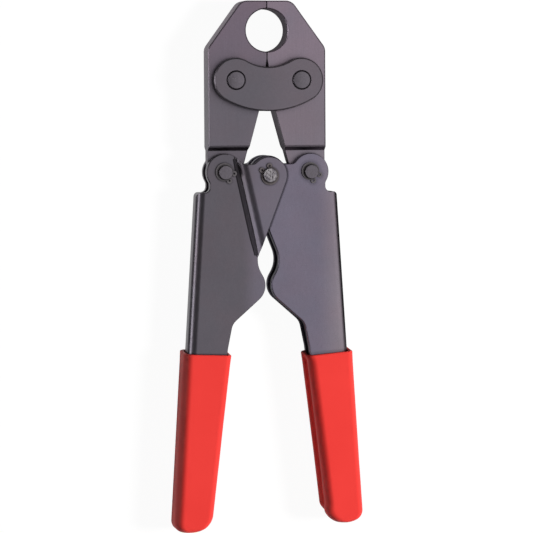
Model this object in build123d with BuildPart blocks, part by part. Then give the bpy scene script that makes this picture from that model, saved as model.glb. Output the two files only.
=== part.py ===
from build123d import *
import os
from math import acos, asin, atan2, cos, hypot, radians, sin, tan

# Crimping pliers for half-inch pipe rings, lying flat with the handles closed.
# +Y points to the nose, +X to the right handle and +Z out of the front face.
# The origin is on the axis of the crimping bore, halfway through the jaws.
# Sizes are millimetres and degrees. Half widths are measured from the tool's centre line,
# drops are measured towards the handles.

# Crimping bore and jaws
bore_diameter = 17.9
jaw_thickness = 11.0
seam_gap = 0.3
nose_height = 12.4
nose_half_width = 10.7
nose_corner_radius = 5.0
shoulder_drop = 7.4
shoulder_radius = 5.0
jaw_half_width = 25.1
jaw_edge_chamfer = 0.45
relief_drop = 12.0
knee_drop = 33.8
knee_half_gap = 3.55
tang_half_gap = 9.45
tang_foot_drop = 55.3
tang_thickness = 5.6
tang_step_drop = 48.7
tang_ramp_length = 1.7
tang_lobe_radius = 6.6

# Pivots, with the tool closed
jaw_pivot_half_spacing = 14.0
jaw_pivot_drop = 20.9
handle_pivot_half_spacing = 18.4
handle_pivot_drop = 59.5
centre_pivot_lead = 1.2
jaw_opening = 15.0

# Link plates and their pins
link_plate_thickness = 4.0
link_plate_play = 0.05
link_lobe_radius = 9.3
link_dip_drop = 15.4
link_bottom_drop = 33.9
link_edge_chamfer = 0.5
link_pin_diameter = 7.4
link_pin_proud = 0.35
link_pin_chamfer = 0.5
link_hole_chamfer = 0.4

# Pins of the handles and their retaining rings
handle_pin_diameter = 5.8
pin_end_length = 1.8
pin_chamfer = 0.25
ring_thickness = 0.8
ring_play = 0.05
ring_groove_depth = 0.3
ring_width = 1.5
ring_offset = 0.35
ring_gap = 1.5
lug_radius = 1.12
lug_reach = 1.28
lug_hole_diameter = 0.9
lug_spread = 56.0
left_lug_angle = -35.0
centre_lug_angle = 119.0
right_lug_angle = -47.0

# Lines within this angle of the tool's length count as steep
steep_angle = 25.0

# Fits
pin_fit = 0.05
press_fit = 0.02
ear_play = 0.1
slot_play = 0.15

# Folded sheet of the handles
sheet_thickness = 3.0
bend_radius = 3.8
sheet_edge_radius = 0.5
handle_lobe_radius = 7.8
centre_lobe_clearance = 1.05
centre_lobe_step = 0.5
lobe_dip_rise = 4.6
lobe_dip_radius = 2.6
notch_inset = 1.4
notch_radius = 2.2
web_top_drop = 7.2
web_step = 5.5
web_top_radius = 2.4
web_lean = 3.57

# Inner edge of the handles, as drops below the centre pivot and corners before rounding
lens_drop = 36.7
lens_half_gap = 5.6
lens_radius = 11.0
stop_drop = 48.2
stop_gap = 2.0
stop_radius = 8.0
stop_rounding = 0.239
neck_drop = 62.6
neck_half_gap = 15.4
neck_radius = 6.0
grip_line_drop = 73.0
grip_line_half_gap = 17.5
handle_end_drop = 147.0
handle_end_width = 12.67
handle_end_inner_radius = 8.0
handle_end_outer_radius = 4.0

# Joggle that lifts the left handle's centre ears over the right handle's
joggle_angle = 12.5
joggle_clearance = 0.43
joggle_run = 3.0
joggle_length = 32.4
joggle_bend_radius = 1.0
joggle_lap = 2.5

# Vinyl sleeves on the handles
grip_top_drop = 74.8
grip_wall = 1.7
grip_face_wall = 1.5
grip_edge_radius = 3.4
grip_lip_radius = 0.5
grip_play = 0.05
left_grip_extra = 2.0

# Heights above the mid-plane
jaw_face = jaw_thickness / 2
tang_face = tang_thickness / 2
ear_inside = tang_face + ear_play
ear_face = ear_inside + sheet_thickness
raised_inside = ear_face + ear_play
raised_face = raised_inside + sheet_thickness
link_inside = jaw_face + link_plate_play
link_face = link_inside + link_plate_thickness
grip_face = ear_face + grip_face_wall

# Places on the right half
jaw_pivot = (jaw_pivot_half_spacing, -jaw_pivot_drop)
handle_pivot = (handle_pivot_half_spacing, -handle_pivot_drop)
centre_pivot = (0, -handle_pivot_drop - centre_pivot_lead)
centre_y = centre_pivot[1]

# Line from the centre pivot to a handle pivot
crank = hypot(handle_pivot_half_spacing, centre_pivot_lead)
crank_rest = atan2(centre_pivot_lead, handle_pivot_half_spacing)

# Outer edge of the handles, which follows the lobe round the handle pivot
notch_half_width = handle_pivot_half_spacing + handle_lobe_radius - notch_inset
web_top_half_width = notch_half_width + web_step

# Radii of the fits
link_pin_radius = link_pin_diameter / 2
handle_pin_radius = handle_pin_diameter / 2
ring_bore_radius = handle_pin_radius - ring_groove_depth + press_fit

# Joggle beside the ring of the handle pin, and the centre lobes that fit inside its fold
ring_reach = ring_bore_radius + lug_reach + lug_radius
pivot_across = crank * cos(radians(joggle_angle) + crank_rest)
joggle_offset = pivot_across - ring_reach - joggle_clearance - joggle_run
right_centre_lobe_radius = joggle_offset - centre_lobe_clearance
left_centre_lobe_radius = right_centre_lobe_radius - centre_lobe_step


# Travel of the linkage
def handle_pivot_x(jaw_turn):
    """Half spacing of the handle pivots once each jaw has turned by this angle."""
    reach = handle_pivot_half_spacing - jaw_pivot_half_spacing
    length = handle_pivot_drop - jaw_pivot_drop
    return jaw_pivot_half_spacing + reach * cos(jaw_turn) - length * sin(jaw_turn)


jaw_turn_open = radians(jaw_opening)
handle_turn_open = acos(handle_pivot_x(jaw_turn_open) / crank) - crank_rest


def loop_gap(share):
    """Gap at the left link pin when jaws and handles have both turned by this share of their travel."""
    crank_x = crank * cos(crank_rest + share * handle_turn_open)
    return 2 * abs(crank_x - handle_pivot_x(share * jaw_turn_open))


travel_steps = 40
slot_length = max(loop_gap(step / travel_steps) for step in range(travel_steps + 1))
slot_angle = jaw_turn_open / 2
slot_sway = slot_length * sin(slot_angle / 2)
slot_radius = link_pin_radius + slot_sway + slot_play


def nearest(vertices, x, y):
    """The vertex of a sketch that lies closest to a point."""
    return vertices.sort_by_distance((x, y, 0))[0]


def tangent_point(centre, radius, outside, turn):
    """Where a line from an outside point touches a circle; turn is 1 or -1 for its two sides."""
    line = Vector(*outside) - Vector(*centre)
    angle = atan2(line.Y, line.X) + turn * acos(radius / line.length)
    return Vector(*centre) + Vector(cos(angle), sin(angle)) * radius


# Jaw blank, the right half without its pivot hole
with BuildPart() as jaw_blank:
    seam = seam_gap / 2
    tang_foot = (tang_half_gap, -tang_foot_drop)
    with BuildSketch(Plane.XY.offset(-jaw_face)):
        with BuildLine():
            Polyline(
                (seam, nose_height),
                (nose_half_width, nose_height),
                (jaw_half_width, -shoulder_drop),
                (jaw_half_width, -handle_pivot_drop),
                handle_pivot,
                tangent_point(handle_pivot, tang_lobe_radius, tang_foot, 1),
                tang_foot,
                (knee_half_gap, -knee_drop),
                (seam, -relief_drop),
                close=True,
            )
        make_face()
        fillet(nearest(vertices(), nose_half_width, nose_height), nose_corner_radius)
        fillet(nearest(vertices(), jaw_half_width, -shoulder_drop), shoulder_radius)
    extrude(amount=jaw_thickness)
    # Half of the crimping bore
    Hole(bore_diameter / 2)
    # Slanted step down to the tang, on both faces
    with BuildSketch(Plane.YZ):
        with BuildLine():
            Polyline(
                (-tang_step_drop, jaw_face),
                (-tang_step_drop - tang_ramp_length, tang_face),
                (-2 * handle_pivot_drop, tang_face),
                (-2 * handle_pivot_drop, jaw_face),
                close=True,
            )
        make_face()
        mirror(about=Plane.XZ)
    extrude(amount=2 * jaw_half_width, mode=Mode.SUBTRACT)
    # Rounded tang end around the handle pin
    with BuildSketch(Plane.XY.offset(-tang_face)):
        with Locations(handle_pivot):
            Circle(tang_lobe_radius)
    extrude(amount=tang_thickness)
    with Locations(handle_pivot):
        Hole(handle_pin_radius + pin_fit)
    # Broken edges round both faces, all but the steep inner ones of the seam, relief and taper
    for face in (jaw_blank.faces().sort_by(Axis.Z)[0], jaw_blank.faces().sort_by(Axis.Z)[-1]):
        steep = face.edges().filter_by(lambda edge: abs(edge.tangent_at(0.5).Y) > cos(radians(steep_angle)))
        inner = steep.filter_by(GeomType.LINE).filter_by(lambda edge: edge.center().X < jaw_pivot[0])
        chamfer(face.edges() - inner, jaw_edge_chamfer)

# Right jaw, which turns on its link pin
with BuildPart() as jaw_right:
    add(jaw_blank.part)
    with Locations(jaw_pivot):
        Hole(link_pin_radius + pin_fit)

# Left jaw, whose link pin has a slot, hidden by the plates, for the pivot where the loop is open
with BuildPart() as jaw_left:
    mirror(jaw_blank.part, about=Plane.YZ)
    slot_start = Vector(-jaw_pivot[0], jaw_pivot[1])
    slot_middle = slot_start + Vector(cos(slot_angle), -sin(slot_angle)) * slot_length / 2
    with BuildSketch(Plane.XY.offset(-jaw_face)):
        SlotCenterPoint(slot_middle, slot_start, 2 * slot_radius)
    extrude(amount=jaw_thickness, mode=Mode.SUBTRACT)


def bridge_radius(reach):
    """Radius of an arc that touches both link lobes and passes this far from the line of their centres."""
    spread = jaw_pivot_half_spacing**2 + reach**2 - link_lobe_radius**2
    return spread / (2 * abs(reach - link_lobe_radius))


def across(point):
    """The same point on the left half."""
    return Vector(-point.X, point.Y)


# Link plate outline: two lobes, a hollow arc between them above and a wide arc below
hollow_radius = bridge_radius(jaw_pivot_drop - link_dip_drop)
belly_radius = bridge_radius(link_bottom_drop - jaw_pivot_drop)
hollow_centre = Vector(0, hollow_radius - link_dip_drop)
belly_centre = Vector(0, belly_radius - link_bottom_drop)
lobe_centre = Vector(*jaw_pivot)
lobe_top = lobe_centre + (hollow_centre - lobe_centre).normalized() * link_lobe_radius
lobe_bottom = lobe_centre + (lobe_centre - belly_centre).normalized() * link_lobe_radius
lobe_side = lobe_centre + Vector(link_lobe_radius, 0)
with BuildSketch() as link_outline:
    with BuildLine():
        ThreePointArc(across(lobe_top), (0, -link_dip_drop), lobe_top)
        ThreePointArc(lobe_top, lobe_side, lobe_bottom)
        ThreePointArc(lobe_bottom, (0, -link_bottom_drop), across(lobe_bottom))
        ThreePointArc(across(lobe_bottom), across(lobe_side), across(lobe_top))
    make_face()

# Front link plate
with BuildPart() as link_plate_front:
    extrude(Plane.XY.offset(link_inside) * link_outline.sketch, amount=link_plate_thickness)
    chamfer(link_plate_front.faces().sort_by(Axis.Z)[-1].edges(), link_edge_chamfer)
    with Locations((*jaw_pivot, 0), (-jaw_pivot[0], jaw_pivot[1], 0)):
        Hole(link_pin_radius + press_fit)
    hole_rims = link_plate_front.faces().sort_by(Axis.Z)[-1].edges().filter_by(GeomType.CIRCLE)
    chamfer(hole_rims.sort_by(SortBy.RADIUS)[:2], link_hole_chamfer)

# Rear link plate
with BuildPart() as link_plate_rear:
    mirror(link_plate_front.part, about=Plane.XY)

# Link pins, pressed in the plates and standing a little proud
link_pins = {}
for side, side_sign in (("left", -1), ("right", 1)):
    with BuildPart() as link_pin:
        with Locations((side_sign * jaw_pivot[0], jaw_pivot[1])):
            Cylinder(link_pin_radius, 2 * (link_face + link_pin_proud))
        chamfer(link_pin.edges().filter_by(GeomType.CIRCLE), link_pin_chamfer)
    link_pins[side] = link_pin.part

# Side view of a right handle: two lobes on an arm, a waisted inner edge and the tapering grip
lens_corner = Vector(lens_half_gap, centre_y - lens_drop)
stop_corner = Vector(stop_gap / 2 - stop_rounding * stop_radius, centre_y - stop_drop)
neck_corner = Vector(neck_half_gap, centre_y - neck_drop)
grip_line_top = Vector(grip_line_half_gap, centre_y - grip_line_drop)
web_top = Vector(web_top_half_width, centre_y - web_top_drop)


def handle_end(end_drop):
    """Outer corner of a handle that ends this far below the centre pivot."""
    web_spread = tan(radians(web_lean)) * (end_drop - web_top_drop)
    return Vector(web_top_half_width + web_spread, centre_y - end_drop)


def handle_outline(centre_lobe_radius, end_drop):
    """Side view of a right handle, with this radius round the centre pivot and its end this far below it."""
    handle_end_outer = handle_end(end_drop)
    handle_end_inner = handle_end_outer - Vector(handle_end_width, 0)
    # The straight edge above the lens leaves the centre lobe as a tangent
    lobe_tangent = tangent_point(centre_pivot, centre_lobe_radius, lens_corner, -1)
    with BuildSketch() as outline:
        with BuildLine():
            Polyline(
                (0, centre_y + lobe_dip_rise),
                (handle_pivot[0], centre_y + lobe_dip_rise),
                (notch_half_width, handle_pivot[1]),
                (notch_half_width, web_top.Y),
                web_top,
                handle_end_outer,
                handle_end_inner,
                grip_line_top,
                neck_corner,
                stop_corner,
                lens_corner,
                lobe_tangent,
                close=True,
            )
        make_face()
        fillet(nearest(vertices(), lens_corner.X, lens_corner.Y), lens_radius)
        fillet(nearest(vertices(), stop_corner.X, stop_corner.Y), stop_radius)
        fillet(nearest(vertices(), neck_corner.X, neck_corner.Y), neck_radius)
        fillet(nearest(vertices(), handle_end_inner.X, handle_end_inner.Y), handle_end_inner_radius)
        fillet(nearest(vertices(), handle_end_outer.X, handle_end_outer.Y), handle_end_outer_radius)
        fillet(nearest(vertices(), web_top.X, web_top.Y), web_top_radius)
        fillet(nearest(vertices(), notch_half_width, web_top.Y), notch_radius)
        with Locations(handle_pivot):
            Circle(handle_lobe_radius)
        with Locations(centre_pivot):
            Circle(centre_lobe_radius)
        # Rounded dip between the two lobes
        dip_y = centre_y + lobe_dip_rise
        centre_dip_x = centre_lobe_radius * cos(asin(lobe_dip_rise / centre_lobe_radius))
        handle_dip_rise = lobe_dip_rise - centre_pivot_lead
        handle_dip_x = handle_pivot[0] - handle_lobe_radius * cos(asin(handle_dip_rise / handle_lobe_radius))
        fillet(nearest(vertices(), centre_dip_x, dip_y), lobe_dip_radius)
        fillet(nearest(vertices(), handle_dip_x, dip_y), lobe_dip_radius)
        # Blend of the handle lobe into the notch below it
        lobe_overlap = notch_half_width - handle_pivot[0]
        notch_join_y = handle_pivot[1] - handle_lobe_radius * sin(acos(lobe_overlap / handle_lobe_radius))
        fillet(nearest(vertices(), notch_half_width, notch_join_y), notch_radius)
    return outline.sketch


left_outline = handle_outline(left_centre_lobe_radius, handle_end_drop)
right_outline = handle_outline(right_centre_lobe_radius, handle_end_drop)

# Section plane of the folded channel, square to its web, at the handle's end
web_along = Vector(-sin(radians(web_lean)), cos(radians(web_lean)), 0)
web_inward = Vector(-cos(radians(web_lean)), -sin(radians(web_lean)), 0)
channel_plane = Plane(origin=handle_end(handle_end_drop), x_dir=web_inward, z_dir=web_along)
channel_reach = 2 * web_top_half_width
channel_length = 1.2 * handle_end_drop


def channel_block(skin, half_height, corner_radius):
    """Bar along the web, set in from its outer face by a skin and rounded at the web side."""
    with BuildPart() as block:
        with BuildSketch(channel_plane):
            with Locations((skin + channel_reach / 2, 0)):
                Rectangle(channel_reach, 2 * half_height)
            fillet(vertices().group_by(Axis.X)[0], corner_radius)
        extrude(amount=channel_length)
    return block.part


def blunt_plate(outline, half_height):
    """A side view as a plate, with its edges rounded."""
    with BuildPart() as plate:
        extrude(outline, amount=half_height, both=True)
        fillet(plate.edges().filter_by(Plane.XY), sheet_edge_radius)
    return plate.part


channel_outside = channel_block(0, ear_face, bend_radius)
channel_inside = channel_block(sheet_thickness, ear_inside, bend_radius - sheet_thickness)

# Right handle, a channel with flat ears
with BuildPart() as handle_right:
    add(channel_outside)
    add(channel_inside, mode=Mode.SUBTRACT)
    add(blunt_plate(right_outline, ear_face), mode=Mode.INTERSECT)
    with Locations(handle_pivot, centre_pivot):
        Hole(handle_pin_radius + pin_fit)

# Joggle frame: across the fold from the centre pivot, up from the mid-plane, along the fold to the nose
joggle_across = Vector(-cos(radians(joggle_angle)), sin(radians(joggle_angle)), 0)
joggle_along = Vector(sin(radians(joggle_angle)), cos(radians(joggle_angle)), 0)
joggle_end = Vector(*centre_pivot) - joggle_along * joggle_length
joggle_plane = Plane(origin=joggle_end, x_dir=joggle_across, z_dir=joggle_along)
fold_top = -joggle_offset
fold_foot = -joggle_offset - joggle_run
fold_slant = atan2(raised_face - ear_face, joggle_run)
fold_shift = sheet_thickness * tan(fold_slant / 2)
fold_start = fold_foot - joggle_lap
fold_reach = 3 * left_centre_lobe_radius

# Both raised centre ears of the left handle, drawn as if it were a right one
with BuildPart() as raised_ears:
    with BuildSketch(joggle_plane):
        with BuildLine():
            Polyline(
                (fold_start, ear_face),
                (fold_foot, ear_face),
                (fold_top, raised_face),
                (fold_reach, raised_face),
                (fold_reach, raised_inside),
                (fold_top + fold_shift, raised_inside),
                (fold_foot + fold_shift, ear_inside),
                (fold_start, ear_inside),
                close=True,
            )
        make_face()
        fillet(nearest(vertices(), fold_foot, ear_face), joggle_bend_radius)
        fillet(nearest(vertices(), fold_top + fold_shift, raised_inside), joggle_bend_radius)
        fillet(nearest(vertices(), fold_top, raised_face), joggle_bend_radius + sheet_thickness)
        fillet(nearest(vertices(), fold_foot + fold_shift, ear_inside), joggle_bend_radius + sheet_thickness)
        mirror(about=Plane.XZ)
    extrude(amount=channel_length)
    add(blunt_plate(left_outline, raised_face), mode=Mode.INTERSECT)

# The left handle as if it were a right one: its centre ears step outwards at the joggle
with BuildPart() as joggled_handle:
    add(channel_outside)
    add(channel_inside, mode=Mode.SUBTRACT)
    add(blunt_plate(left_outline, ear_face), mode=Mode.INTERSECT)
    with BuildSketch(joggle_plane):
        with Locations(((fold_start + fold_reach) / 2, 0)):
            Rectangle(fold_reach - fold_start, 2 * raised_face)
    extrude(amount=channel_length, mode=Mode.SUBTRACT)
    add(raised_ears.part)
    with Locations(handle_pivot, centre_pivot):
        Hole(handle_pin_radius + pin_fit)

# Left handle
with BuildPart() as handle_left:
    mirror(joggled_handle.part, about=Plane.YZ)


def retained_pin(x, y, ear_height):
    """Pin through a pair of ears, with a groove for a retaining ring outside each ear."""
    ring_middle = ear_height + ring_play + ring_thickness / 2
    half_length = ear_height + ring_play + ring_thickness + pin_end_length
    with BuildPart() as pin:
        with Locations((x, y)):
            Cylinder(handle_pin_radius, 2 * half_length)
        chamfer(pin.edges().filter_by(GeomType.CIRCLE), pin_chamfer)
        with Locations((x, y, ring_middle), (x, y, -ring_middle)):
            Cylinder(2 * handle_pin_radius, ring_thickness, mode=Mode.SUBTRACT)
            Cylinder(handle_pin_radius - ring_groove_depth, ring_thickness)
    return pin.part


def retaining_ring(x, y, height, lug_angle):
    """Open spring ring, widest opposite its two lugs, each lug with a hole for pliers."""
    lug_distance = ring_bore_radius + lug_reach
    half_spread = lug_spread / 2
    with BuildPart() as ring:
        with BuildSketch(Plane((x, y, height)).rotated((0, 0, lug_angle))):
            with Locations((-ring_offset, 0)):
                Circle(ring_bore_radius + ring_width - ring_offset)
            with Locations((lug_distance / 2 + ring_bore_radius / 2, 0)):
                Rectangle(lug_distance + ring_bore_radius, ring_gap, mode=Mode.SUBTRACT)
            with PolarLocations(lug_distance, 2, -half_spread, 2 * lug_spread):
                Circle(lug_radius)
                Circle(lug_hole_diameter / 2, mode=Mode.SUBTRACT)
            Circle(ring_bore_radius, mode=Mode.SUBTRACT)
        extrude(amount=ring_thickness)
    return ring.part


# Pins and rings of the three handle pivots
pivots = {
    "handle_pin_left": (-handle_pivot[0], handle_pivot[1], ear_face),
    "centre_pin": (*centre_pivot, raised_face),
    "handle_pin_right": (*handle_pivot, ear_face),
}
lugs = {
    "handle_pin_left": ("left_ring", left_lug_angle),
    "centre_pin": ("centre_ring", centre_lug_angle),
    "handle_pin_right": ("right_ring", right_lug_angle),
}
pins_and_rings = {}
for pin_name, (x, y, ear_height) in pivots.items():
    ring_name, lug_angle = lugs[pin_name]
    ring_foot = ear_height + ring_play
    pins_and_rings[pin_name] = retained_pin(x, y, ear_height)
    pins_and_rings[ring_name + "_front"] = retaining_ring(x, y, ring_foot, lug_angle)
    rear_foot = -ring_foot - ring_thickness
    pins_and_rings[ring_name + "_rear"] = retaining_ring(x, y, rear_foot, lug_angle)

# Room for the channel's last stretch inside a grip
grip_top = Vector(grip_line_half_gap + handle_end_width / 2, centre_y - grip_top_drop, 0)
above_grip = Plane(origin=grip_top, z_dir=-web_along)
with BuildPart() as grip_core:
    add(channel_block(-grip_play, ear_face + grip_play, bend_radius + grip_play))
    with BuildSketch():
        add(right_outline)
        offset(amount=grip_play)
    extrude(amount=2 * ear_face, both=True, mode=Mode.INTERSECT)


def grip_sleeve(end_extra):
    """Sleeve for a right handle, rounded all along; its closed end is thicker than its walls by an extra."""
    with BuildPart() as sleeve:
        with BuildSketch(Plane.XY.offset(-grip_face)):
            add(handle_outline(right_centre_lobe_radius, handle_end_drop + end_extra))
            split(bisect_by=above_grip, keep=Keep.TOP)
            offset(amount=grip_wall, kind=Kind.INTERSECTION)
        extrude(amount=2 * grip_face)
        fillet(sleeve.edges().filter_by(Plane.XY).sort_by(Axis.Y)[:-2], grip_edge_radius)
        split(bisect_by=above_grip, keep=Keep.TOP)
        fillet(sleeve.faces().sort_by(Axis.Y)[-1].edges(), grip_lip_radius)
        add(grip_core.part, mode=Mode.SUBTRACT)
    return sleeve.part


# Right grip
with BuildPart() as grip_right:
    add(grip_sleeve(0))

# Left grip, a little longer than the right one
with BuildPart() as grip_left:
    mirror(grip_sleeve(left_grip_extra), about=Plane.YZ)

pieces = {
    "jaw_left": jaw_left.part,
    "jaw_right": jaw_right.part,
    "link_plate_front": link_plate_front.part,
    "link_plate_rear": link_plate_rear.part,
    "link_pin_left": link_pins["left"],
    "link_pin_right": link_pins["right"],
    "handle_left": handle_left.part,
    "handle_right": handle_right.part,
    "grip_left": grip_left.part,
    "grip_right": grip_right.part,
    **pins_and_rings,
}
os.makedirs("parts", exist_ok=True)
for name, piece in pieces.items():
    piece.label = name
    export_step(piece, f"parts/{name}.step")
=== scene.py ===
import math

import bpy
from mathutils import Matrix, Vector, noise


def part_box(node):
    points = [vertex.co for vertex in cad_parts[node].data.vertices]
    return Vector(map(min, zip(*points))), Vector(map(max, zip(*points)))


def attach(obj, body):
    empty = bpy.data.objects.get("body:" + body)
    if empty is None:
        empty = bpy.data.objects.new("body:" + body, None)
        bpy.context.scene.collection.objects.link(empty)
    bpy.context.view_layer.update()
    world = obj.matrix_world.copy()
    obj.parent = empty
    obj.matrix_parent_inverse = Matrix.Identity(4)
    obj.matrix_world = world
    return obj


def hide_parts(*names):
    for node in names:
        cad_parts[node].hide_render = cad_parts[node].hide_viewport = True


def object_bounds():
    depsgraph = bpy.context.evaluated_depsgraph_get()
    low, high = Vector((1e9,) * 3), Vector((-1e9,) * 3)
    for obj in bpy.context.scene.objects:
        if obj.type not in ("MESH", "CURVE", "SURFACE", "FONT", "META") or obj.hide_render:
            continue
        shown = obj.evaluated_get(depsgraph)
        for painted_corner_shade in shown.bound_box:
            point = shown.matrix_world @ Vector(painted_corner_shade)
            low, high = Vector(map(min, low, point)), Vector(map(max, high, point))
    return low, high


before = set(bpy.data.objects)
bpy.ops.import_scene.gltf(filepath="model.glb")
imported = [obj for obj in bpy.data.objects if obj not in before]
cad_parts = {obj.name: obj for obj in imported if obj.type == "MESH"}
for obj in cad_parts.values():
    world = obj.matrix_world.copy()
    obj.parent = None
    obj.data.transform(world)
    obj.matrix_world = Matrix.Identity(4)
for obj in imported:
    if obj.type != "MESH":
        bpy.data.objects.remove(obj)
cad_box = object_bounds()

# Lengths below are metres, written as millimetres times this
MM = 0.001

# Camera, as fitted to the photograph: it looks down on the tool from a little to the left.
# Angles are in degrees, the lens and the sensor in millimetres
CAMERA_AIM = Vector((0.338, -99.617, 0.0)) * MM
CAMERA_DISTANCE = 1200 * MM
CAMERA_YAW = 11.41
CAMERA_PITCH = 3.40
CAMERA_ROLL = -0.343
CAMERA_LENS = 191.44
CAMERA_SENSOR = 36
CAMERA_NEAREST = 10 * MM

# Floor, which the camera sees as white with a faint shadow; its size is in metres
FLOOR_SIZE = 8.0
FLOOR_CLEARANCE = 0.02 * MM
FLOOR_COLOUR = (0.80, 0.80, 0.80, 1)
FLOOR_GLOW = 1.03
FLOOR_GLOW_SHARE = 0.93

# The floor as the metal mirrors it is a painted reflection, a glow that only glossy rays see: black far to
# the left, then bright, dimmer under the middle and nearly black on the right as painted shadow of the
# tool, and even round the grips. Each pair is where one shade gives way to the next
FLOOR_PAINTED_REFLECTION_LEFT = 0.68
FLOOR_PAINTED_REFLECTION_MIDDLE = 0.15
FLOOR_PAINTED_REFLECTION_RIGHT = 0.03
FLOOR_PAINTED_REFLECTION_GRIPS = 0.40
FLOOR_LEFT_STARTS = (-65 * MM, -45 * MM)
FLOOR_MIDDLE_STARTS = (-14 * MM, 2 * MM)
FLOOR_RIGHT_STARTS = (10 * MM, 14 * MM)
FLOOR_GRIPS_END = (-145 * MM, -130 * MM)

# Room: an even light for the vinyl and the floor. The metal mirrors a wide screen on the right and a strip
# low on the left, over a dim ground. Their edges are shares of a unit direction, between which they fade
ROOM_LIGHT = 0.03
DARK_LIGHT = 0.24
SCREEN_LIGHT = 0.91
SCREEN_INNER_EDGE = (-0.16, 0.10)
SCREEN_OUTER_EDGE = (0.93, 0.99)
SCREEN_ENDS = (0.55, 0.85)
STRIP_LIGHT = 4.3
STRIP_EDGE = (-0.90, -0.96)
STRIP_ENDS = (0.20, 0.35)

# Key lamp, in metres and watts
KEY_PLACE = (1.54, -0.13, 1.62)
KEY_SIZE = 0.48
KEY_POWER = 68.5

# Sleeves: where the CAD ones are measured, below the top and above the end
SLEEVE_TOP_CLEAR = 6 * MM
SLEEVE_END_CLEAR = 30 * MM

# Sleeves: walls, and rounded edges, which are tighter in the pocket; its levels are shares of the length
SLEEVE_SIDE_WALL = 1.65 * MM
SLEEVE_FACE_WALL = 1.45 * MM
SLEEVE_EDGE_RADIUS = 2.4 * MM
SLEEVE_SOFT_EDGE_RADIUS = 3.6 * MM
SLEEVE_POCKET_TIGHTER = 1.4 * MM
SLEEVE_POCKET_LEVELS = (0.08, 0.35, 0.65, 0.9)

# Sleeves: the lip and the end, whose tilts fade along the sleeve
SLEEVE_LIP_SPARE = 0.3 * MM
SLEEVE_LIP_ROUNDING = 0.5 * MM
SLEEVE_LIP_HEIGHT = 1.0 * MM
SLEEVE_LIP_LEAN = 0.083
SLEEVE_LIP_FADE = 40 * MM
SLEEVE_FLARE = 0.08 * MM
SLEEVE_FLARE_FADE = 4 * MM
SLEEVE_END_ROUNDING = 2.4 * MM
SLEEVE_END_LENGTH = 12 * MM
SLEEVE_END_SPARE = 0.01 * MM
SLEEVE_END_FADE = 30 * MM

# Sleeves: relief of the inner side. Each pair is where a form starts and where it is full or has faded
SLEEVE_INNER_SIDE = (0.25, 0.85)
SLEEVE_RECESS_EDGE = (-2.3 * MM, 0.1 * MM)
SLEEVE_GROOVE = 0.9 * MM
SLEEVE_GROOVE_PLACE = -0.9 * MM
SLEEVE_GROOVE_FLANK = (0.2 * MM, 2.6 * MM)
SLEEVE_GROOVE_TOP_FADE = 2.5 * MM
SLEEVE_GROOVE_FOOT = (5 * MM, 10 * MM)
SLEEVE_TRIM_HEIGHT = 9 * MM
SLEEVE_TRIM_FADE = 5 * MM
SLEEVE_TRIM_EDGE = (-2 * MM, 5 * MM)

# Sleeves: faint waves all round
SLEEVE_WAVE = 0.04 * MM
SLEEVE_WAVE_LENGTH = 9 * MM

# Pins: grooves, share of an end that is domed, and scuffs (fractal dimension, growth and octaves)
PIN_GROOVE = 0.3 * MM
PIN_DOMED_SHARE = 0.995
PIN_SCUFF_SIZE = 0.9 * MM
PIN_SCUFF_FRACTAL = (0.8, 2.0, 3)

# Fillets at the foot of the left handle's folds; the last value is in degrees
FOLD_FILLET = 3.2 * MM
FOLD_FILLET_END = 2.4 * MM
FOLD_FILLET_FADE = 8 * MM
FOLD_FILLET_SPARE = 0.6 * MM
FOLD_FILLET_SINK = 0.05 * MM
FOLD_FILLET_SHARP = 40

# How faces of the left handle are told apart, by the part of a normal that is outward or along another
FLAT_NORMAL = 0.999
SLANTED_NORMAL = (0.6, 0.8)
SAME_NORMAL = 0.9999

# Grain of rolled sheet, as noise cells to the metre along each axis
ROLLED_GRAIN = (900.0, 420.0, 900.0)

# Colours, linear. Most pieces blend between two of them, from a shaded tone to a tone with painted light on
# it, and the tints multiply the blackened ones
SHADED_LEFT_JAW_OXIDE = (0.167, 0.149, 0.175)
LIT_LEFT_NOSE_OXIDE = (0.204, 0.163, 0.203)
LIT_RIGHT_JAW_OXIDE = (0.228, 0.195, 0.230)
LIT_RIGHT_NOSE_OXIDE = (0.257, 0.212, 0.258)
SHADED_LEFT_PLATE_OXIDE = (0.143, 0.130, 0.150)
LIT_RIGHT_PLATE_OXIDE = (0.162, 0.142, 0.165)
SHADED_LEFT_HANDLE_OXIDE = (0.117, 0.105, 0.122)
LIT_RAISED_EAR_OXIDE = (0.152, 0.136, 0.168)
LIT_RIGHT_HANDLE_OXIDE = (0.162, 0.145, 0.189)
LIT_RIGHT_WEB_OXIDE = (0.240, 0.203, 0.230)
COOL_TINT = (0.985, 1.000, 1.010)
WARM_TINT = (1.025, 0.990, 0.995)
PIN_OXIDE = (0.145, 0.130, 0.150)
PIN_BARE = (0.400, 0.375, 0.390)
RING_OXIDE = (0.150, 0.137, 0.146)
BROWNER_RING_COLOUR = (0.150, 0.130, 0.133)
VINYL_RED = (0.834, 0.050, 0.042)
VINYL_SHADE = (0.800, 0.045, 0.038)
WHITE = (1, 1, 1, 1)


def scaled(colour, factor):
    """A colour made lighter or darker."""
    return tuple(value * factor for value in colour)


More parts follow.
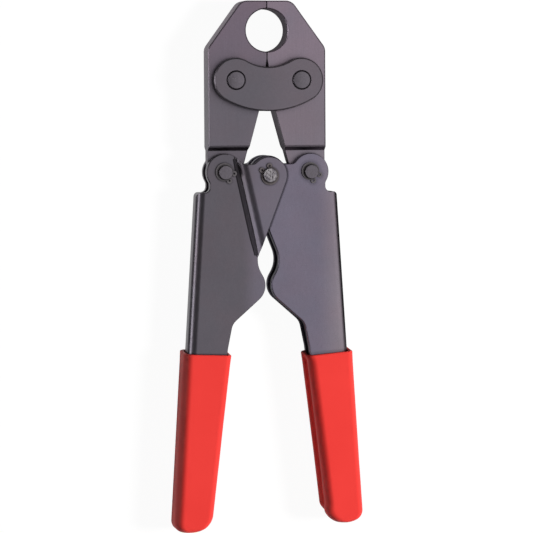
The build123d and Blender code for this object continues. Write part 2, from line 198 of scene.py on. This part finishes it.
class Nodes:
    """A node tree under construction. Most methods add a node and return the socket of its result."""

    def __init__(self, tree):
        self.nodes = tree.nodes
        self.links = tree.links
        self.nodes.clear()

    def add(self, kind, inputs=None, **settings):
        """Adds a shader node with its inputs and its settings, and returns the node itself."""
        node = self.nodes.new("ShaderNode" + kind)
        for key, value in settings.items():
            setattr(node, key, value)
        for key, value in (inputs or {}).items():
            self.feed(node.inputs[key], value)
        return node

    def feed(self, socket, value):
        """Sets a socket to a value, or links another socket to it."""
        if isinstance(value, bpy.types.NodeSocket):
            self.links.new(value, socket)
        else:
            socket.default_value = value

    def place(self):
        """Points of the piece in metres."""
        return self.add("TexCoord").outputs["Object"]

    def stretched(self, scale):
        """Points of the piece, with a factor of its own along each axis."""
        return self.add("Mapping", {"Vector": self.place(), "Scale": scale}).outputs["Vector"]

    def noise(self, vector, scale, detail, roughness=0.55):
        inputs = {"Vector": vector, "Scale": scale, "Detail": detail, "Roughness": roughness}
        return self.add("TexNoise", inputs).outputs["Fac"]

    def ranged(self, value, low, high, to_low=0.0, to_high=1.0, interpolation="LINEAR"):
        """Moves the stretch from low to high onto another one, and holds the value at its ends."""
        inputs = {"Value": value, "From Min": low, "From Max": high, "To Min": to_low, "To Max": to_high}
        return self.add("MapRange", inputs, interpolation_type=interpolation).outputs["Result"]

    def math(self, operation, first, second):
        return self.add("Math", {0: first, 1: second}, operation=operation).outputs["Value"]

    def dot(self, first, second):
        return self.add("VectorMath", {0: first, 1: second}, operation="DOT_PRODUCT").outputs["Value"]

    def mixed(self, factor, first, second, blend_type="MIX"):
        """Blend of two colours."""
        node = self.add("Mix", data_type="RGBA", blend_type=blend_type)
        colours = [socket for socket in node.inputs if socket.type == "RGBA"]
        self.feed(node.inputs["Factor"], factor)
        for socket, colour in zip(colours, (first, second)):
            self.feed(socket, (*colour, 1) if isinstance(colour, tuple) else colour)
        return next(socket for socket in node.outputs if socket.type == "RGBA")

    def mottled(self, colour, pattern, weight, span, tones):
        """A colour made uneven by a pattern, whose span of values becomes a span of grey tones."""
        return self.mixed(weight, colour, self.ranged(pattern, *span, *tones), "OVERLAY")

    def edges(self, radius, weight):
        """The weight where the surface turns sharply within the radius, and 0 on its flats."""
        rounded = self.add("Bevel", {"Radius": radius}, samples=6).outputs["Normal"]
        likeness = self.dot(rounded, self.add("NewGeometry").outputs["Normal"])
        flat, sharp = 0.995, 0.86
        return self.math("MULTIPLY", self.ranged(likeness, flat, sharp), weight)

    def crevice_shade(self, distance, closed, weight):
        """Mask of painted shade: 0 in the open, the weight where surfaces within the distance leave a
        closed share of the sky.
        """
        openness = self.add("AmbientOcclusion", {"Distance": distance}, samples=8).outputs["AO"]
        clear = 0.96
        return self.math("MULTIPLY", self.ranged(openness, clear, closed), weight)

    def bump(self, height, distance, strength=1.0, normal=None):
        """Normal of a surface whose relief follows a height, on top of another relief if one is given."""
        node = self.add("Bump", {"Height": height, "Distance": distance, "Strength": strength})
        if normal is not None:
            self.feed(node.inputs["Normal"], normal)
        return node.outputs["Normal"]

    def surface(self, shader):
        """Closes the tree of a material."""
        output = self.add("OutputMaterial")
        self.links.new(shader, output.inputs["Surface"])

    def principled(self, **inputs):
        """Closes the tree of a material with a principled surface, whose inputs are given by name."""
        named = {key.replace("_", " "): value for key, value in inputs.items()}
        self.surface(self.add("BsdfPrincipled", named).outputs["BSDF"])


def new_material(name):
    """A material, and its empty node tree."""
    material = bpy.data.materials.new(name)
    material.use_nodes = True
    return material, Nodes(material.node_tree)


def blackened_steel(name, oxide_and_light_tones, axis, span, grain, grain_depth, roughness, reach, closed, fade=None):
    """Steel with a blackened skin: clouds, a fine grain, specks, and painted shade on its edges and in its
    corners.

    Its tone goes from the first oxide, shaded, to the second, with painted light on it, over a span of the
    axis. A corner has another surface within reach. Its painted shade is darkest where only the closed
    share of the sky is left, and weaker past the fade.
    """
    material, shader = new_material(name)
    clouds = shader.noise(shader.place(), scale=45.0, detail=4.0)
    streaks = shader.noise(shader.stretched(grain), scale=1.0, detail=4.0, roughness=0.6)
    specks = shader.noise(shader.place(), scale=3000.0, detail=2.0)
    along = shader.add("SeparateXYZ", {0: shader.place()}).outputs[axis]
    # Painted light: the tone brightens from the first colour to the second along the axis
    skin = shader.mixed(shader.ranged(along, *span, interpolation="SMOOTHSTEP"), *oxide_and_light_tones)
    skin = shader.mottled(skin, clouds, weight=0.6, span=(0.3, 0.7), tones=(0.46, 0.54))
    skin = shader.mottled(skin, streaks, weight=0.4, span=(0.25, 0.75), tones=(0.42, 0.58))
    skin = shader.mottled(skin, specks, weight=0.3, span=(0.3, 0.7), tones=(0.40, 0.60))
    patches = shader.noise(shader.place(), scale=70.0, detail=2.0)
    tint = shader.mixed(shader.ranged(patches, 0.35, 0.65), COOL_TINT, WARM_TINT)
    skin = shader.mixed(1.0, skin, tint, "MULTIPLY")
    # Painted shade on sharp edges: the colour darkens there, and the same mask makes the edges duller
    edge = shader.edges(radius=0.35 * MM, weight=0.9)
    colour = shader.mixed(edge, skin, scaled(oxide_and_light_tones[0], 0.3))
    # Painted shade in corners and creases: the colour darkens where little of the sky is open
    painted_corner_shade = shader.crevice_shade(reach, closed, weight=0.85)
    if fade is not None:
        painted_corner_shade = shader.math("MULTIPLY", painted_corner_shade, shader.ranged(along, *fade, to_low=1.0, to_high=0.35))
    colour = shader.mixed(painted_corner_shade, colour, scaled(oxide_and_light_tones[0], 0.2))
    gloss = shader.ranged(streaks, 0.25, 0.75, to_low=roughness - 0.03, to_high=roughness + 0.04)
    gloss = shader.math("ADD", gloss, shader.math("MULTIPLY", edge, 0.4))
    relief = shader.bump(streaks, grain_depth)
    relief = shader.bump(specks, distance=0.002 * MM, strength=0.3, normal=relief)
    shader.principled(Base_Color=colour, Metallic=1.0, Roughness=gloss, Normal=relief)
    return material


def jaw_steel(name, jaw_oxide, lit_nose_oxide):
    """Ground steel, streaked along the tool, painted lighter at the nose."""
    return blackened_steel(
        name,
        oxide_and_light_tones=(jaw_oxide, lit_nose_oxide),
        axis="Y",
        span=(-30 * MM, 0.0),
        grain=(1500.0, 70.0, 1500.0),
        grain_depth=0.004 * MM,
        roughness=0.44,
        reach=0.8 * MM,
        closed=0.20,
    )


def plate_steel(name):
    """Stamped plate with an even grain, painted lighter to the right."""
    return blackened_steel(
        name,
        oxide_and_light_tones=(SHADED_LEFT_PLATE_OXIDE, LIT_RIGHT_PLATE_OXIDE),
        axis="X",
        span=(-18 * MM, 18 * MM),
        grain=(600.0, 600.0, 600.0),
        grain_depth=0.003 * MM,
        roughness=0.42,
        reach=0.8 * MM,
        closed=0.35,
    )


def left_handle_steel(name):
    """Rolled sheet, painted lighter past the fold, on the raised ears."""
    return blackened_steel(
        name,
        oxide_and_light_tones=(SHADED_LEFT_HANDLE_OXIDE, LIT_RAISED_EAR_OXIDE),
        axis="X",
        span=(-12 * MM, -4 * MM),
        grain=ROLLED_GRAIN,
        grain_depth=0.001 * MM,
        roughness=0.31,
        reach=1.0 * MM,
        closed=0.40,
    )


def right_handle_steel(name):
    """Rolled sheet, painted lighter at the web, with its darkest painted corner shade where the raised ears
    lie over it.
    """
    return blackened_steel(
        name,
        oxide_and_light_tones=(LIT_RIGHT_HANDLE_OXIDE, LIT_RIGHT_WEB_OXIDE),
        axis="X",
        span=(20 * MM, 34 * MM),
        grain=ROLLED_GRAIN,
        grain_depth=0.001 * MM,
        roughness=0.29,
        reach=1.6 * MM,
        closed=0.86,
        fade=(9 * MM, 12 * MM),
    )


def pin_steel(name, worn, roughness):
    """Turned pin; over the worn span of a scuff pattern its skin gives way to bare steel, and painted shade
    darkens its edges.
    """
    material, shader = new_material(name)
    scuffs = shader.noise(shader.place(), scale=820.0, detail=5.0, roughness=0.65)
    fine = shader.noise(shader.place(), scale=4200.0, detail=3.0)
    colour = shader.mixed(shader.ranged(scuffs, *worn), PIN_OXIDE, PIN_BARE)
    colour = shader.mottled(colour, fine, weight=0.35, span=(0.3, 0.7), tones=(0.25, 0.75))
    # Painted shade on the pin's edges: the colour darkens there
    edge = shader.edges(radius=0.25 * MM, weight=0.6)
    colour = shader.mixed(edge, colour, scaled(PIN_OXIDE, 0.4))
    gloss = shader.ranged(scuffs, 0.3, 0.7, to_low=roughness - 0.08, to_high=roughness + 0.10)
    relief = shader.bump(fine, distance=0.006 * MM, strength=0.6)
    shader.principled(Base_Color=colour, Metallic=1.0, Roughness=gloss, Normal=relief)
    return material


def ring_steel(name, oxide):
    """Phosphated spring steel, speckled, with painted shade along its edges and where it meets the pin."""
    material, shader = new_material(name)
    specks = shader.noise(shader.place(), scale=2600.0, detail=4.0)
    skin = shader.mixed(shader.ranged(specks, 0.35, 0.65), scaled(oxide, 0.85), scaled(oxide, 1.15))
    # Painted shade on the ring's edges: the colour darkens there
    edge = shader.edges(radius=0.2 * MM, weight=0.3)
    colour = shader.mixed(edge, skin, scaled(oxide, 0.25))
    # Painted shade where the ring meets the pin and the handle
    painted_corner_shade = shader.crevice_shade(distance=1.2 * MM, closed=0.60, weight=0.9)
    colour = shader.mixed(painted_corner_shade, colour, scaled(oxide, 0.15))
    relief = shader.bump(specks, distance=0.01 * MM, strength=0.6)
    gloss = shader.ranged(specks, 0.3, 0.7, to_low=0.36, to_high=0.50)
    shader.principled(Base_Color=colour, Metallic=1.0, Roughness=gloss, Normal=relief)
    return material


def red_vinyl(name):
    """Dipped vinyl: even red with a faint cloud, a very fine skin and a soft shine."""
    material, shader = new_material(name)
    clouds = shader.noise(shader.place(), scale=42.0, detail=3.0)
    skin = shader.noise(shader.place(), scale=1900.0, detail=3.0)
    colour = shader.mixed(shader.ranged(clouds, 0.3, 0.7), VINYL_RED, VINYL_SHADE)
    colour = shader.mottled(colour, skin, weight=0.10, span=(0.3, 0.7), tones=(0.3, 0.7))
    relief = shader.bump(clouds, distance=0.04 * MM, strength=0.4)
    relief = shader.bump(skin, distance=0.010 * MM, strength=0.5, normal=relief)
    gloss = shader.ranged(skin, 0.3, 0.7, to_low=0.42, to_high=0.52)
    shader.principled(Base_Color=colour, Roughness=gloss, Specular_IOR_Level=0.30, Normal=relief)
    return material


def dress(piece, material):
    """Gives a piece one material."""
    piece.data.materials.clear()
    piece.data.materials.append(material)


def dress_cad_nodes():
    """Dresses the CAD nodes that stay in view. Returns their materials by the start of a node's name."""
    ring = ring_steel("ring_steel", RING_OXIDE)
    materials = {
        # The jaws are one steel in two copies: painted shade on the left one, painted light on the right
        # one
        "jaw_left": jaw_steel("shaded_left_jaw_steel", SHADED_LEFT_JAW_OXIDE, LIT_LEFT_NOSE_OXIDE),
        "jaw_right": jaw_steel("lit_right_jaw_steel", LIT_RIGHT_JAW_OXIDE, LIT_RIGHT_NOSE_OXIDE),
        "link_plate": plate_steel("plate_steel"),
        "handle_left": left_handle_steel("left_handle_steel"),
        "handle_right": right_handle_steel("right_handle_steel"),
        "left_ring": ring,
        "right_ring": ring,
        # The centre ring: the same steel in a browner colour
        "centre_ring": ring_steel("centre_ring_steel", BROWNER_RING_COLOUR),
    }
    for name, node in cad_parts.items():
        for start, material in materials.items():
            if name.startswith(start):
                dress(node, material)
    return materials


def mesh_piece(name, points, faces):
    """A smooth-shaded mesh object, whose points are in the part's own frame."""
    mesh = bpy.data.meshes.new(name)
    mesh.from_pydata(points, [], faces)
    mesh.validate()
    mesh.shade_smooth()
    piece = bpy.data.objects.new(name, mesh)
    bpy.context.scene.collection.objects.link(piece)
    return piece


def loft(rings):
    """Points and faces of closed rings joined in turn, with the first and the last ring capped."""
    count = len(rings[0])
    points = [point for ring in rings for point in ring]
    faces = [list(reversed(range(count)))]
    for level in range(len(rings) - 1):
        near = level * count
        far = near + count
        for index in range(count):
            following = (index + 1) % count
            faces.append([near + index, near + following, far + following, far + index])
    faces.append([(len(rings) - 1) * count + index for index in range(count)])
    return points, faces


def stand_in(piece, node, body):
    """Lets a mesh take the place of a CAD node."""
    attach(piece, body)
    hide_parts(node)


def smooth_step(value, low, high):
    """0 up to low, 1 from high on, and a smooth rise between them."""
    share = min(max((value - low) / (high - low), 0.0), 1.0)
    return share * share * (3 - 2 * share)


def pin_profile(radius, half_length, grooves, edge, dome):
    """Half of a pin's profile, from its mid-plane to its end: radius, height and share of the scuffs."""
    flat_radius = radius - edge
    rim = half_length - dome
    neck = radius - PIN_GROOVE
    profile = []
    for foot, head in grooves:
        profile += [(radius, foot, 0), (neck, foot, 0), (neck, head, 0), (radius, head, 0)]
    corner_steps = 5
    for step in range(corner_steps + 1):
        angle = 0.5 * math.pi * step / corner_steps
        profile.append((flat_radius + edge * math.cos(angle), rim - edge * (1 - math.sin(angle)), 0))
    face_steps = 16
    for step in range(1, face_steps + 1):
        reach = 1 - PIN_DOMED_SHARE * step / face_steps
        profile.append((flat_radius * reach, rim + dome * (1 - reach * reach), 1))
    return profile


def turned_pin(node, body, front_rings, material, edge, dome, scuff):
    """Pin in the place of a CAD one: rounded edges, domed and scuffed ends, at both a groove per ring."""
    low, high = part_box(node)
    middle = (low + high) / 2
    grooves = []
    for ring_node in front_rings:
        ring_low, ring_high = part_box(ring_node)
        grooves.append((ring_low.z - middle.z, ring_high.z - middle.z))
    profile = pin_profile((high.x - low.x) / 2, (high.z - low.z) / 2, grooves, edge, dome)
    segments = 72
    rings = []
    for sign, stations in ((-1, reversed(profile)), (1, profile)):
        for radius, height, scuffed in stations:
            ring = []
            for index in range(segments):
                angle = 2 * math.pi * index / segments
                point = middle + Vector((radius * math.cos(angle), radius * math.sin(angle), 0))
                wear = noise.fractal(point / PIN_SCUFF_SIZE, *PIN_SCUFF_FRACTAL)
                dent = scuff * scuffed * max(0.0, 0.5 + wear)
                point.z = middle.z + sign * (height - dent)
                ring.append(point)
            rings.append(ring)
    pin = mesh_piece("turned_" + node, *loft(rings))
    dress(pin, material)
    stand_in(pin, node, body)


def fold_fillet(name, facing, steel):
    """Hollow fillet where the left handle's front or rear ear folds outwards, narrower towards its ends."""
    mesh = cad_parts["handle_left"].data
    pin_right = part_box("handle_pin_left")[1].x
    outside = [face for face in mesh.polygons if facing * face.center.z > 0]
    flats = [face for face in outside if facing * face.normal.z > FLAT_NORMAL]
    ear = max(flats, key=lambda face: face.area)
    steep, shallow = SLANTED_NORMAL
    past_pin = [face for face in outside if face.center.x > pin_right]
    slanted = [face for face in past_pin if steep < facing * face.normal.z < shallow]
    slope = max(slanted, key=lambda face: face.area)
    outward = Vector((0, 0, facing))
    downhill = Vector((slope.normal.x, slope.normal.y, 0)).normalized()
    along = outward.cross(downhill)
    slant = math.acos(facing * slope.normal.z)
    foot = slope.center.copy()
    foot += downhill * (facing * (foot.z - ear.center.z) / math.tan(slant))
    foot.z = ear.center.z
    ramp = [face for face in slanted if face.normal.dot(slope.normal) > SAME_NORMAL]
    reaches = [along.dot(mesh.vertices[index].co - foot) for face in ramp for index in face.vertices]
    low = min(reaches) + FOLD_FILLET_SPARE
    high = max(reaches) - FOLD_FILLET_SPARE
    stations = 40
    arc_steps = 10
    rings = []
    for station in range(stations + 1):
        reach = low + (high - low) * station / stations
        grown = smooth_step(min(reach - low, high - reach), 0, FOLD_FILLET_FADE)
        radius = FOLD_FILLET_END + (FOLD_FILLET - FOLD_FILLET_END) * grown
        start = foot + along * reach
        middle = start + downhill * radius * math.tan(slant / 2) + outward * radius
        ring = [start - outward * FOLD_FILLET_SINK]
        for step in range(arc_steps + 1):
            angle = slant * step / arc_steps
            ring.append(middle - (outward * math.cos(angle) + downhill * math.sin(angle)) * radius)
        rings.append(ring)
    fillet = mesh_piece(name, *loft(rings))
    fillet.data.set_sharp_from_angle(angle=math.radians(FOLD_FILLET_SHARP))
    dress(fillet, steel)
    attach(fillet, "handle_left")


def section_box(node, y):
    """Lowest and highest X and Z where a plane across the tool's length cuts a CAD node."""
    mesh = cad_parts[node].data
    cuts = []
    for edge in mesh.edges:
        first, second = (mesh.vertices[index].co for index in edge.vertices)
        if (first.y - y) * (second.y - y) < 0:
            cuts.append(first.lerp(second, (y - first.y) / (second.y - first.y)))
    across = [cut.x for cut in cuts]
    heights = [cut.z for cut in cuts]
    return Vector((min(across), max(across), min(heights), max(heights)))


def corner_inset(rise, radius):
    """How far a quarter-round corner stands in from its side, at a rise above its foot."""
    drop = max(radius - rise, 0.0)
    return radius - math.sqrt(radius * radius - drop * drop)


def rounded_section(box, inset_x, inset_z, corners):
    """Points round a box that is drawn in from its sides.

    Its front right, front left, rear left and rear right corners are rounded, each by (across, deep).
    """
    low_x, high_x = box[0] + inset_x, box[1] - inset_x
    low_z, high_z = box[2] + inset_z, box[3] - inset_z
    corner_steps = 10
    side_steps = 18
    most_share = 0.49
    most_x, most_z = most_share * (high_x - low_x), most_share * (high_z - low_z)
    reach = [(min(across, most_x), min(deep, most_z)) for across, deep in corners]
    sides = ((high_x, high_z, 1, 1), (low_x, high_z, -1, 1), (low_x, low_z, -1, -1), (high_x, low_z, 1, -1))
    arcs = []
    for number, ((x, z, sign_x, sign_z), (reach_x, reach_z)) in enumerate(zip(sides, reach)):
        middle_x, middle_z = x - sign_x * reach_x, z - sign_z * reach_z
        arc = []
        for step in range(corner_steps + 1):
            angle = math.radians(90 * (number + step / corner_steps))
            arc_x = middle_x + reach_x * math.cos(angle)
            arc_z = middle_z + reach_z * math.sin(angle)
            arc.append(Vector((arc_x, 0, arc_z)))
        arcs.append(arc)
    points = []
    for number, arc in enumerate(arcs):
        following = arcs[(number + 1) % len(arcs)]
        points.extend(arc)
        points.extend(arc[-1].lerp(following[0], step / side_steps) for step in range(1, side_steps))
    return points


def inner_side_depth(z, recess, trim, groove_share, trim_share):
    """How far a sleeve's inner side is drawn in at a height, by its recess, groove and trimmed end."""
    above_groove = z - SLEEVE_GROOVE_PLACE
    valley = 1 - smooth_step(abs(above_groove), *SLEEVE_GROOVE_FLANK)
    front = smooth_step(above_groove, *SLEEVE_RECESS_EDGE)
    rear = smooth_step(-z, *SLEEVE_TRIM_EDGE)
    hollow = recess * front + SLEEVE_GROOVE * valley
    return hollow * groove_share + trim * trim_share * rear


def sleeve_stations(top, end):
    """Rings of a sleeve, from the foot of its pocket over the lip to its end.

    Each is a level, the share of the wall that lies outside the ring, and how far the flare draws it in.
    """
    stations = []
    # Pocket, from its foot up to the lip
    lip = top - SLEEVE_LIP_ROUNDING
    for share in SLEEVE_POCKET_LEVELS:
        stations.append((end + share * (top - end), 1.0, 0.0))
    stations.append((lip, 1.0, 0.0))
    # Rolled lip
    lip_steps = 8
    for step in range(lip_steps + 1):
        angle = math.pi * step / lip_steps
        stations.append((lip + SLEEVE_LIP_ROUNDING * math.sin(angle), 0.5 + 0.5 * math.cos(angle), 0.0))
    # Outside, from the flared lip down to the rounded end
    start = top - SLEEVE_LIP_HEIGHT
    straight_end = end + SLEEVE_END_LENGTH
    straight_steps = 36
    for step in range(straight_steps + 1):
        level = start + (straight_end - start) * step / straight_steps
        flare = SLEEVE_FLARE * smooth_step(start - level, 0, SLEEVE_FLARE_FADE)
        stations.append((level, 0.0, flare))
    end_steps = 32
    for step in range(1, end_steps + 1):
        angle = 0.5 * math.pi * step / end_steps
        level = straight_end - (straight_end - end - SLEEVE_END_SPARE) * math.sin(angle)
        stations.append((level, 0.0, SLEEVE_FLARE))
    return stations


def grip_sleeve(side, vinyl, sign, lip_tilt, end_tilt, left_corner, right_corner, soft_depth, recess, trim):
    """Vinyl sleeve in the place of a CAD grip: rolled lip, soft edges, rounded end, grooved inner side.

    The sign is 1 on the right handle and -1 on the left one, and the tilts are in degrees.
    """
    node = "grip_" + side
    low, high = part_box(node)
    # The sides run straight, so each section follows from two that are clear of the top and of the end
    upper_level = high.y - SLEEVE_TOP_CLEAR
    lower_level = low.y + SLEEVE_END_CLEAR
    upper_section = section_box(node, upper_level)
    lower_section = section_box(node, lower_level)
    taper = (upper_section - lower_section) / (upper_level - lower_level)
    upper_half_width = 0.5 * (upper_section[1] - upper_section[0])
    lower_half_width = 0.5 * (lower_section[1] - lower_section[0])
    lip_slope = sign * math.tan(math.radians(lip_tilt))
    end_slope = math.tan(math.radians(end_tilt))
    top = high.y - upper_half_width * abs(lip_slope) - SLEEVE_LIP_SPARE
    end = low.y + max(lower_half_width - left_corner, 0.0) * end_slope

    def ring_at(level, wall_share, flare):
        rise = level - end
        box = upper_section + taper * (level - upper_level)
        middle_x = (box[0] + box[1]) / 2
        half_width = (box[1] - box[0]) / 2
        left = corner_inset(rise, left_corner)
        right = corner_inset(rise, right_corner)
        face = corner_inset(rise, SLEEVE_END_ROUNDING)
        box += Vector((left, -right, face, -face))
        tighter = SLEEVE_POCKET_TIGHTER * wall_share
        edge = (SLEEVE_EDGE_RADIUS - tighter, SLEEVE_EDGE_RADIUS - tighter)
        soft_edge = (SLEEVE_SOFT_EDGE_RADIUS - tighter, soft_depth - tighter)
        inset_x = SLEEVE_SIDE_WALL * wall_share + flare
        inset_z = SLEEVE_FACE_WALL * wall_share + flare
        ring = rounded_section(box, inset_x, inset_z, (edge, soft_edge, edge, edge))
        lip_share = smooth_step(level, top - SLEEVE_LIP_FADE, top)
        end_share = 1 - smooth_step(rise, 0, SLEEVE_END_FADE)
        tilt = lip_slope * lip_share + end_slope * end_share
        groove_share = smooth_step(top - level, 0, SLEEVE_GROOVE_TOP_FADE)
        groove_share *= smooth_step(rise, *SLEEVE_GROOVE_FOOT)
        trim_share = smooth_step(SLEEVE_TRIM_HEIGHT - rise, 0, SLEEVE_TRIM_FADE)
        for point in ring:
            point.y = level + tilt * (point.x - middle_x) - SLEEVE_LIP_LEAN * lip_share * point.z
            inner = smooth_step(-sign * (point.x - middle_x) / half_width, *SLEEVE_INNER_SIDE)
            pull_in = inner * inner_side_depth(point.z, recess, trim, groove_share, trim_share)
            wave_place = Vector((point.x, level, point.z)) / SLEEVE_WAVE_LENGTH
            wave = SLEEVE_WAVE * (0.5 + 0.5 * noise.noise(wave_place))
            point.x += sign * pull_in + (wave if point.x < middle_x else -wave)
            point.z -= wave if point.z > 0 else -wave
        return ring

    rings = [ring_at(*station) for station in sleeve_stations(top, end)]
    sleeve = mesh_piece("sleeve_" + side, *loft(rings))
    dress(sleeve, vinyl)
    stand_in(sleeve, node, "handle_" + side)


def make_camera():
    """Camera at the photograph's place."""
    yaw, pitch, roll = (math.radians(angle) for angle in (CAMERA_YAW, CAMERA_PITCH, CAMERA_ROLL))
    forward = Vector((math.sin(yaw) * math.cos(pitch), -math.sin(pitch), -math.cos(yaw) * math.cos(pitch)))
    level = Vector((math.cos(yaw), 0, math.sin(yaw)))
    right = Matrix.Rotation(-roll, 3, forward) @ level
    up = right.cross(forward)
    data = bpy.data.cameras.new("camera")
    data.lens = CAMERA_LENS
    data.sensor_width = CAMERA_SENSOR
    data.clip_start = CAMERA_NEAREST
    camera = bpy.data.objects.new("camera", data)
    turn = Matrix((right, up, -forward)).transposed().to_4x4()
    camera.matrix_world = Matrix.Translation(CAMERA_AIM - forward * CAMERA_DISTANCE) @ turn
    bpy.context.scene.collection.objects.link(camera)
    bpy.context.scene.camera = camera


def floor_material():
    """Pale floor: to the camera white with part of the tool's shadow, to the metal a painted reflection
    with painted shadow.
    """
    material, shader = new_material("floor")
    diffuse = shader.add("BsdfDiffuse", {"Color": FLOOR_COLOUR})
    path = shader.add("LightPath")
    glow = shader.add("Emission", {"Color": WHITE, "Strength": FLOOR_GLOW})
    share = shader.math("MULTIPLY", path.outputs["Is Camera Ray"], FLOOR_GLOW_SHARE)
    seen = shader.add("MixShader", {0: share, 1: diffuse.outputs["BSDF"], 2: glow.outputs["Emission"]})
    # Painted reflection: a glow of given strengths that only glossy rays see, dark where the tool's shadow
    # would fall
    place = shader.add("SeparateXYZ", {0: shader.place()})
    across = place.outputs["X"]
    by_grips = shader.ranged(place.outputs["Y"], *FLOOR_GRIPS_END, to_low=1.0, to_high=0.0)
    far_left = shader.ranged(across, *FLOOR_LEFT_STARTS, to_low=FLOOR_PAINTED_REFLECTION_LEFT, to_high=0.0)
    left = shader.ranged(across, *FLOOR_MIDDLE_STARTS, to_low=FLOOR_PAINTED_REFLECTION_LEFT, to_high=FLOOR_PAINTED_REFLECTION_MIDDLE)
    right = shader.ranged(across, *FLOOR_RIGHT_STARTS, to_high=FLOOR_PAINTED_REFLECTION_MIDDLE - FLOOR_PAINTED_REFLECTION_RIGHT)
    gloss = shader.math("SUBTRACT", shader.math("SUBTRACT", left, right), far_left)
    gloss = shader.ranged(by_grips, 0.0, 1.0, to_low=gloss, to_high=FLOOR_PAINTED_REFLECTION_GRIPS)
    painted_floor_reflection = shader.add("Emission", {"Color": WHITE, "Strength": gloss})
    mirrored = path.outputs["Is Glossy Ray"]
    mix = shader.add("MixShader", {0: mirrored, 1: seen.outputs["Shader"], 2: painted_floor_reflection.outputs["Emission"]})
    shader.surface(mix.outputs["Shader"])
    return material


def make_floor():
    """Plain pale floor under the lowest point of the tool."""
    half = FLOOR_SIZE / 2
    height = cad_box[0].z - FLOOR_CLEARANCE
    corners = [(-half, -half, height), (half, -half, height), (half, half, height), (-half, half, height)]
    floor = mesh_piece("floor", corners, [(0, 1, 2, 3)])
    dress(floor, floor_material())


def make_world():
    """Even room light for the vinyl and the floor, and a studio of screens for the metal to mirror."""
    world = bpy.data.worlds.new("studio")
    world.use_nodes = True
    shader = Nodes(world.node_tree)
    soft = "SMOOTHSTEP"
    direction = shader.add("SeparateXYZ", {0: shader.add("TexCoord").outputs["Generated"]})
    right = direction.outputs["X"]
    aside = shader.add("Math", {0: direction.outputs["Y"]}, operation="ABSOLUTE").outputs["Value"]
    screen = shader.ranged(right, *SCREEN_INNER_EDGE, 0.0, SCREEN_LIGHT, soft)
    screen_width = shader.ranged(right, *SCREEN_OUTER_EDGE, 1.0, 0.0, soft)
    screen_length = shader.ranged(aside, *SCREEN_ENDS, 1.0, 0.0, soft)
    strip = shader.ranged(right, *STRIP_EDGE, 0.0, STRIP_LIGHT, soft)
    strip_length = shader.ranged(aside, *STRIP_ENDS, 1.0, 0.0, soft)
    mirrored = shader.math("MULTIPLY", shader.math("MULTIPLY", screen, screen_width), screen_length)
    mirrored = shader.math("ADD", mirrored, shader.math("MULTIPLY", strip, strip_length))
    mirrored = shader.math("ADD", mirrored, DARK_LIGHT)
    glossy = shader.add("LightPath").outputs["Is Glossy Ray"]
    strength = shader.ranged(glossy, 0.0, 1.0, to_low=ROOM_LIGHT, to_high=mirrored)
    background = shader.add("Background", {"Color": WHITE, "Strength": strength})
    output = shader.add("OutputWorld")
    shader.links.new(background.outputs["Background"], output.inputs["Surface"])
    bpy.context.scene.world = world


def make_key_lamp():
    """Soft lamp on the right, turned to where the camera aims, and not mirrored in the metal."""
    data = bpy.data.lights.new("key", "AREA")
    data.shape = "SQUARE"
    data.size = KEY_SIZE
    data.energy = KEY_POWER
    lamp = bpy.data.objects.new("key", data)
    lamp.visible_glossy = False
    lamp.location = KEY_PLACE
    lamp.rotation_euler = (CAMERA_AIM - Vector(KEY_PLACE)).to_track_quat("-Z", "Y").to_euler()
    bpy.context.scene.collection.objects.link(lamp)


steels = dress_cad_nodes()
fold_fillet("fold_fillet_front", 1, steels["handle_left"])
fold_fillet("fold_fillet_rear", -1, steels["handle_left"])

vinyl = red_vinyl("red_vinyl")
grip_sleeve(
    "left",
    vinyl,
    sign=-1,
    lip_tilt=2.2,
    end_tilt=3.0,
    left_corner=4.8 * MM,
    right_corner=6.8 * MM,
    soft_depth=5.0 * MM,
    recess=0.0,
    trim=0.0,
)
grip_sleeve(
    "right",
    vinyl,
    sign=1,
    lip_tilt=5.0,
    end_tilt=9.0,
    left_corner=8.5 * MM,
    right_corner=4.6 * MM,
    soft_depth=3.9 * MM,
    recess=0.8 * MM,
    trim=1.8 * MM,
)

plain_pin = pin_steel("pin_steel", worn=(0.62, 0.80), roughness=0.40)
scuffed_pin = pin_steel("scuffed_pin_steel", worn=(0.40, 0.58), roughness=0.42)
link_pin_end = {"edge": 0.5 * MM, "dome": 0.22 * MM, "scuff": 0.02 * MM}
handle_pin_end = {"edge": 0.22 * MM, "dome": 0.04 * MM, "scuff": 0.03 * MM}
centre_pin_end = {"edge": 0.22 * MM, "dome": 0.02 * MM, "scuff": 0.15 * MM}
for side in ("left", "right"):
    turned_pin("link_pin_" + side, "link", [], plain_pin, **link_pin_end)
    turned_pin("handle_pin_" + side, "handle_" + side, [side + "_ring_front"], plain_pin, **handle_pin_end)
turned_pin("centre_pin", "handle_left", ["centre_ring_front"], scuffed_pin, **centre_pin_end)

make_camera()
make_floor()
make_world()
make_key_lamp()
bpy.context.scene.view_settings.view_transform = "Standard"
